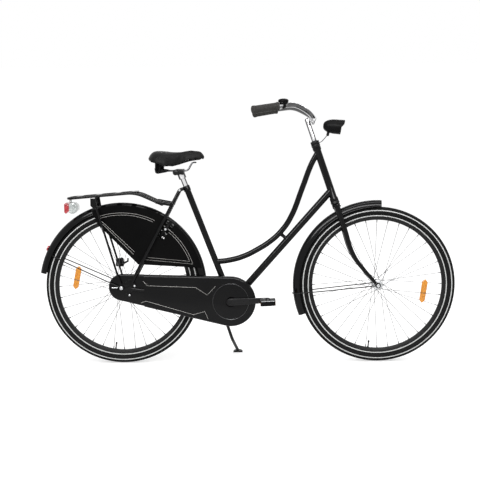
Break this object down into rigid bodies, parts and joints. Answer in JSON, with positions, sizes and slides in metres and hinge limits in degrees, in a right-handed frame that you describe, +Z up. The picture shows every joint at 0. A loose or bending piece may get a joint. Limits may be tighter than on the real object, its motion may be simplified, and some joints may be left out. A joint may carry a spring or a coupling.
{
  "type": "dutch city bike",
  "caption": "Black upright city bicycle with a low curved top tube, full chaincase, coat guards, fenders, rear carrier, lamps, ring lock and side stand.",
  "frame": {"origin": "centre of the bounding box at the ground, with the bike leaning on its side stand", "axes": "+X points forward along the bike, +Y to the rider's left and +Z up"},
  "size_m": [1.9112, 0.6124, 1.2175],
  "materials": {
    "frame_paint": "gloss black lacquer",
    "chrome": "polished",
    "steel": "zinc plated",
    "dark_steel": "oiled",
    "tyre": "matte with a pale stripe",
    "grip_rubber": "matte ribbed",
    "black_alloy": "satin black",
    "black_plastic": "moulded satin",
    "guard_vinyl": "gloss sheet with pale pinstripes",
    "amber": "prismatic",
    "lamp_body": "moulded pale grey",
    "red_lens": "clear red",
    "clear_lens": "fluted clear",
    "saddle_cover": "matte black"
  },
  "bodies": {
    "root": {"seat_tube": "frame_paint", "top_tube": "frame_paint", "down_tube": "frame_paint", "head_tube": "frame_paint", "stays_right": "frame_paint", "stays_left": "frame_paint", "headset_lower_cup": "black_alloy", "headset_upper_cup": "black_alloy", "rear_axle": "steel", "brake_arm": "black_alloy", "rear_fender": "frame_paint", "rear_fender_stay": "black_alloy", "coat_guard_right": "guard_vinyl", "coat_guard_left": "guard_vinyl", "ring_lock_housing": "black_plastic", "carrier": "frame_paint", "carrier_leg_right": "frame_paint", "carrier_leg_left": "frame_paint", "rear_lamp_housing": "lamp_body", "rear_lamp_lens": "red_lens", "chain": "dark_steel", "chaincase": "frame_paint", "chaincase_rear_cover": "frame_paint", "stand_bracket": "black_alloy"},
    "steering": {"fork": "frame_paint", "headset_locknut": "black_alloy", "headlamp_bracket": "black_alloy", "front_axle": "steel", "front_fender": "frame_paint", "front_fender_stay": "black_alloy"},
    "handlebars": {"stem": "chrome", "handlebar": "chrome", "grip_right": "grip_rubber", "grip_left": "grip_rubber", "bell_body": "black_plastic"},
    "bell_lever": {"bell_lever": "black_plastic"},
    "headlamp": {"headlamp_shell": "black_plastic", "headlamp_lens": "clear_lens"},
    "front_wheel": {"front_tyre": "tyre", "front_rim": "black_alloy", "front_hub_and_spokes": "steel", "front_wheel_reflector": "amber"},
    "rear_wheel": {"rear_tyre": "tyre", "rear_rim": "black_alloy", "rear_hub_and_spokes": "steel", "rear_wheel_reflector": "amber"},
    "driver": {"sprocket": "dark_steel"},
    "cranks": {"crank_axle": "steel", "chainring": "dark_steel", "crank_right": "black_alloy", "crank_left": "black_alloy"},
    "pedal_right": {"pedal_right": "black_plastic"},
    "pedal_left": {"pedal_left": "black_plastic"},
    "seat": {"seat_post": "chrome", "saddle_clamp": "black_alloy", "saddle_rails": "dark_steel", "saddle_pan": "black_plastic", "saddle_cushion": "saddle_cover"},
    "lock_shackle": {"ring_lock_shackle": "chrome"},
    "stand": {"stand_leg": "black_alloy"}
  },
  "joints": [
    {"name": "steer", "type": "hinge", "parent": "root", "child": "steering", "pos_m": [0.40414, -0.03566, 0.7411], "axis": [-0.3173, 0.0827, 0.9447], "range_deg": [-80, 80]},
    {"name": "stem_height", "type": "slide", "parent": "steering", "child": "handlebars", "axis": [-0.3173, 0.0827, 0.9447], "range_m": [-0.04, 0.05]},
    {"name": "bell_push", "type": "hinge", "parent": "handlebars", "child": "bell_lever", "pos_m": [0.16822, -0.237, 1.171], "axis": [0, 0.0872, 0.9962], "range_deg": [0, 22], "stiffness_Nm_per_rad": 0.1},
    {"name": "headlamp_tilt", "type": "hinge", "parent": "steering", "child": "headlamp", "pos_m": [0.37407, -0.00943, 1.04097], "axis": [0, 0.9962, -0.0872], "range_deg": [-12, 15]},
    {"name": "front_wheel_spin", "type": "hinge", "parent": "steering", "child": "front_wheel", "pos_m": [0.59808, -0.06934, 0.35614], "axis": [0, 0.9962, -0.0872], "continuous": true},
    {"name": "rear_wheel_spin", "type": "hinge", "parent": "root", "child": "rear_wheel", "pos_m": [-0.57393, -0.06934, 0.35614], "axis": [0, 0.9962, -0.0872], "continuous": true},
    {"name": "crank_spin", "type": "hinge", "parent": "root", "child": "cranks", "pos_m": [-0.07493, -0.07522, 0.2889], "axis": [0, 0.9962, -0.0872], "continuous": true},
    {"name": "driver_spin", "type": "hinge", "parent": "root", "child": "driver", "pos_m": [-0.57393, -0.06934, 0.35614], "axis": [0, 0.9962, -0.0872], "continuous": true},
    {"name": "pedal_right_spin", "type": "hinge", "parent": "cranks", "child": "pedal_right", "pos_m": [0.09491, -0.07458, 0.29628], "axis": [0, 0.9962, -0.0872], "continuous": true},
    {"name": "pedal_left_spin", "type": "hinge", "parent": "cranks", "child": "pedal_left", "pos_m": [-0.24476, -0.07587, 0.28151], "axis": [0, 0.9962, -0.0872], "continuous": true},
    {"name": "seat_height", "type": "slide", "parent": "root", "child": "seat", "axis": [-0.3567, 0.0814, 0.9306], "range_m": [-0.03, 0.08]},
    {"name": "lock_close", "type": "hinge", "parent": "root", "child": "lock_shackle", "pos_m": [-0.37303, -0.04652, 0.61695], "axis": [-0.7934, 0.0531, 0.6064], "range_deg": [0, 92]},
    {"name": "stand_fold", "type": "hinge", "parent": "root", "child": "stand", "pos_m": [-0.12793, -0.02394, 0.25547], "axis": [-0.08, 0.9968, -0.0069], "range_deg": [0, 96]}
  ],
  "couplings": [
    {"joint": "driver_spin", "follows": "crank_spin", "ratio": 2.3158}
  ]
}
